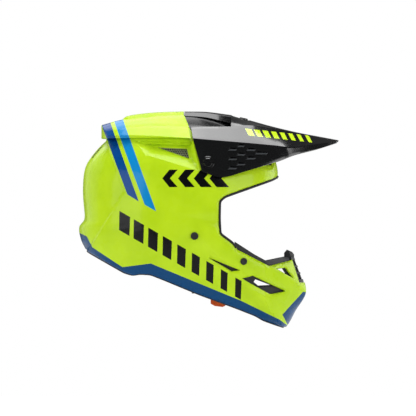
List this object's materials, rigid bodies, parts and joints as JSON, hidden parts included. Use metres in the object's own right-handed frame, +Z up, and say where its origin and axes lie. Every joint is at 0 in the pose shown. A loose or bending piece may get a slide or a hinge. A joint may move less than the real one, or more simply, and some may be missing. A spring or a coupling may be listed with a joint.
{
  "type": "motocross helmet",
  "caption": "Off-road motorcycle helmet: long chin bar, open eye port, pointed tilting peak, rear spoiler, foam core, pull-out cheek pads and a D-ring strap.",
  "frame": {"origin": "middle of the wearer's head, 180 mm behind and 190 mm above the chin bar's lower front corner", "axes": "+X to the front, +Y to the wearer's left, +Z up, as worn with the head level"},
  "size_m": [0.3923, 0.2474, 0.3266],
  "materials": {
    "yellow_paint": "glossy fluorescent yellow paint with printed graphics",
    "black_gloss": "glossy black",
    "black_plastic": "moulded black, slightly textured",
    "black_rubber": "soft black beading",
    "grey_mesh": "grey moulded mesh",
    "foam": "dark expanded polystyrene bead foam",
    "lining": "charcoal knitted liner over foam",
    "ribbon": "orange woven ribbon",
    "webbing": "black woven webbing",
    "steel": "plain"
  },
  "bodies": {
    "shell": {"outer_shell": "yellow_paint", "crown_scoop": "black_gloss", "brow_vent_insert_right": "black_plastic", "brow_vent_insert_left": "black_plastic", "rear_exhaust_right": "black_plastic", "rear_exhaust_left": "black_plastic", "chin_vent_insert_right": "black_plastic", "chin_vent_insert_left": "black_plastic", "mouthpiece_right": "black_plastic", "mouthpiece_left": "black_plastic", "mouth_grille": "black_plastic", "strap_rivet_right": "black_plastic", "strap_rivet_left": "black_plastic", "chin_bar_screw_right": "black_plastic", "chin_bar_screw_left": "black_plastic", "cheek_stud_front_right": "black_plastic", "cheek_stud_front_left": "black_plastic", "cheek_stud_rear_right": "black_plastic", "cheek_stud_rear_left": "black_plastic", "lower_edge_bead": "black_rubber", "eye_port_bead": "black_rubber", "nose_guard": "black_rubber", "side_vent_mesh_right": "grey_mesh", "side_vent_mesh_left": "grey_mesh", "crown_foam": "foam", "chin_foam": "foam", "cheek_foam_right": "foam", "cheek_foam_left": "foam", "crown_pad": "lining", "brow_pad": "lining", "neck_pad": "lining", "strap_web_right": "webbing", "strap_web_left": "webbing", "strap_hanger_right": "steel", "strap_hanger_left": "steel", "peak_side_nut_right": "steel", "peak_side_nut_left": "steel", "peak_centre_nut": "steel"},
    "peak": {"peak": "black_gloss"},
    "side_screw_right": {"peak_side_screw_right": "black_plastic"},
    "side_screw_left": {"peak_side_screw_left": "black_plastic"},
    "centre_screw": {"peak_centre_screw": "black_plastic"},
    "pad_right": {"cheek_pad_right": "lining"},
    "pad_left": {"cheek_pad_left": "lining"},
    "ribbon_right": {"release_ribbon_right": "ribbon"},
    "ribbon_left": {"release_ribbon_left": "ribbon"},
    "strap": {"strap_loop_right": "webbing", "strap_loop_left": "webbing", "d_ring_inner": "steel", "d_ring_outer": "steel"},
    "tail": {"strap_tail": "webbing", "strap_popper": "black_plastic"}
  },
  "joints": [
    {"name": "peak_tilt", "type": "hinge", "parent": "shell", "child": "peak", "pos_m": [0.042, 0, 0.0255], "axis": [0, 1, 0], "range_deg": [0, 8]},
    {"name": "side_screw_right_turn", "type": "hinge", "parent": "shell", "child": "side_screw_right", "pos_m": [0.042, -0.115, 0.0255], "axis": [0, -1, 0], "continuous": true},
    {"name": "side_screw_left_turn", "type": "hinge", "parent": "shell", "child": "side_screw_left", "pos_m": [0.042, 0.115, 0.0255], "axis": [0, 1, 0], "continuous": true},
    {"name": "centre_screw_turn", "type": "hinge", "parent": "shell", "child": "centre_screw", "pos_m": [0.096, 0, 0.0926], "axis": [0.2529, 0, 0.9675], "continuous": true},
    {"name": "pad_right_pull", "type": "slide", "parent": "shell", "child": "pad_right", "axis": [0, 1, 0], "range_m": [0, 0.04]},
    {"name": "pad_left_pull", "type": "slide", "parent": "shell", "child": "pad_left", "axis": [0, -1, 0], "range_m": [0, 0.04]},
    {"name": "ribbon_right_swing", "type": "hinge", "parent": "pad_right", "child": "ribbon_right", "pos_m": [0.058, -0.064, -0.1578], "axis": [0.8989, 0, -0.4382], "range_deg": [0, 45]},
    {"name": "ribbon_left_swing", "type": "hinge", "parent": "pad_left", "child": "ribbon_left", "pos_m": [0.058, 0.064, -0.1578], "axis": [-0.8989, 0, 0.4382], "range_deg": [0, 45]},
    {"name": "strap_swing", "type": "hinge", "parent": "shell", "child": "strap", "pos_m": [0.03, 0, -0.1505], "axis": [0, 1, 0], "range_deg": [-15, 15]},
    {"name": "tail_peel", "type": "hinge", "parent": "strap", "child": "tail", "pos_m": [0.03, -0.004, -0.1698], "axis": [-1, 0, 0], "range_deg": [0, 50]}
  ]
}
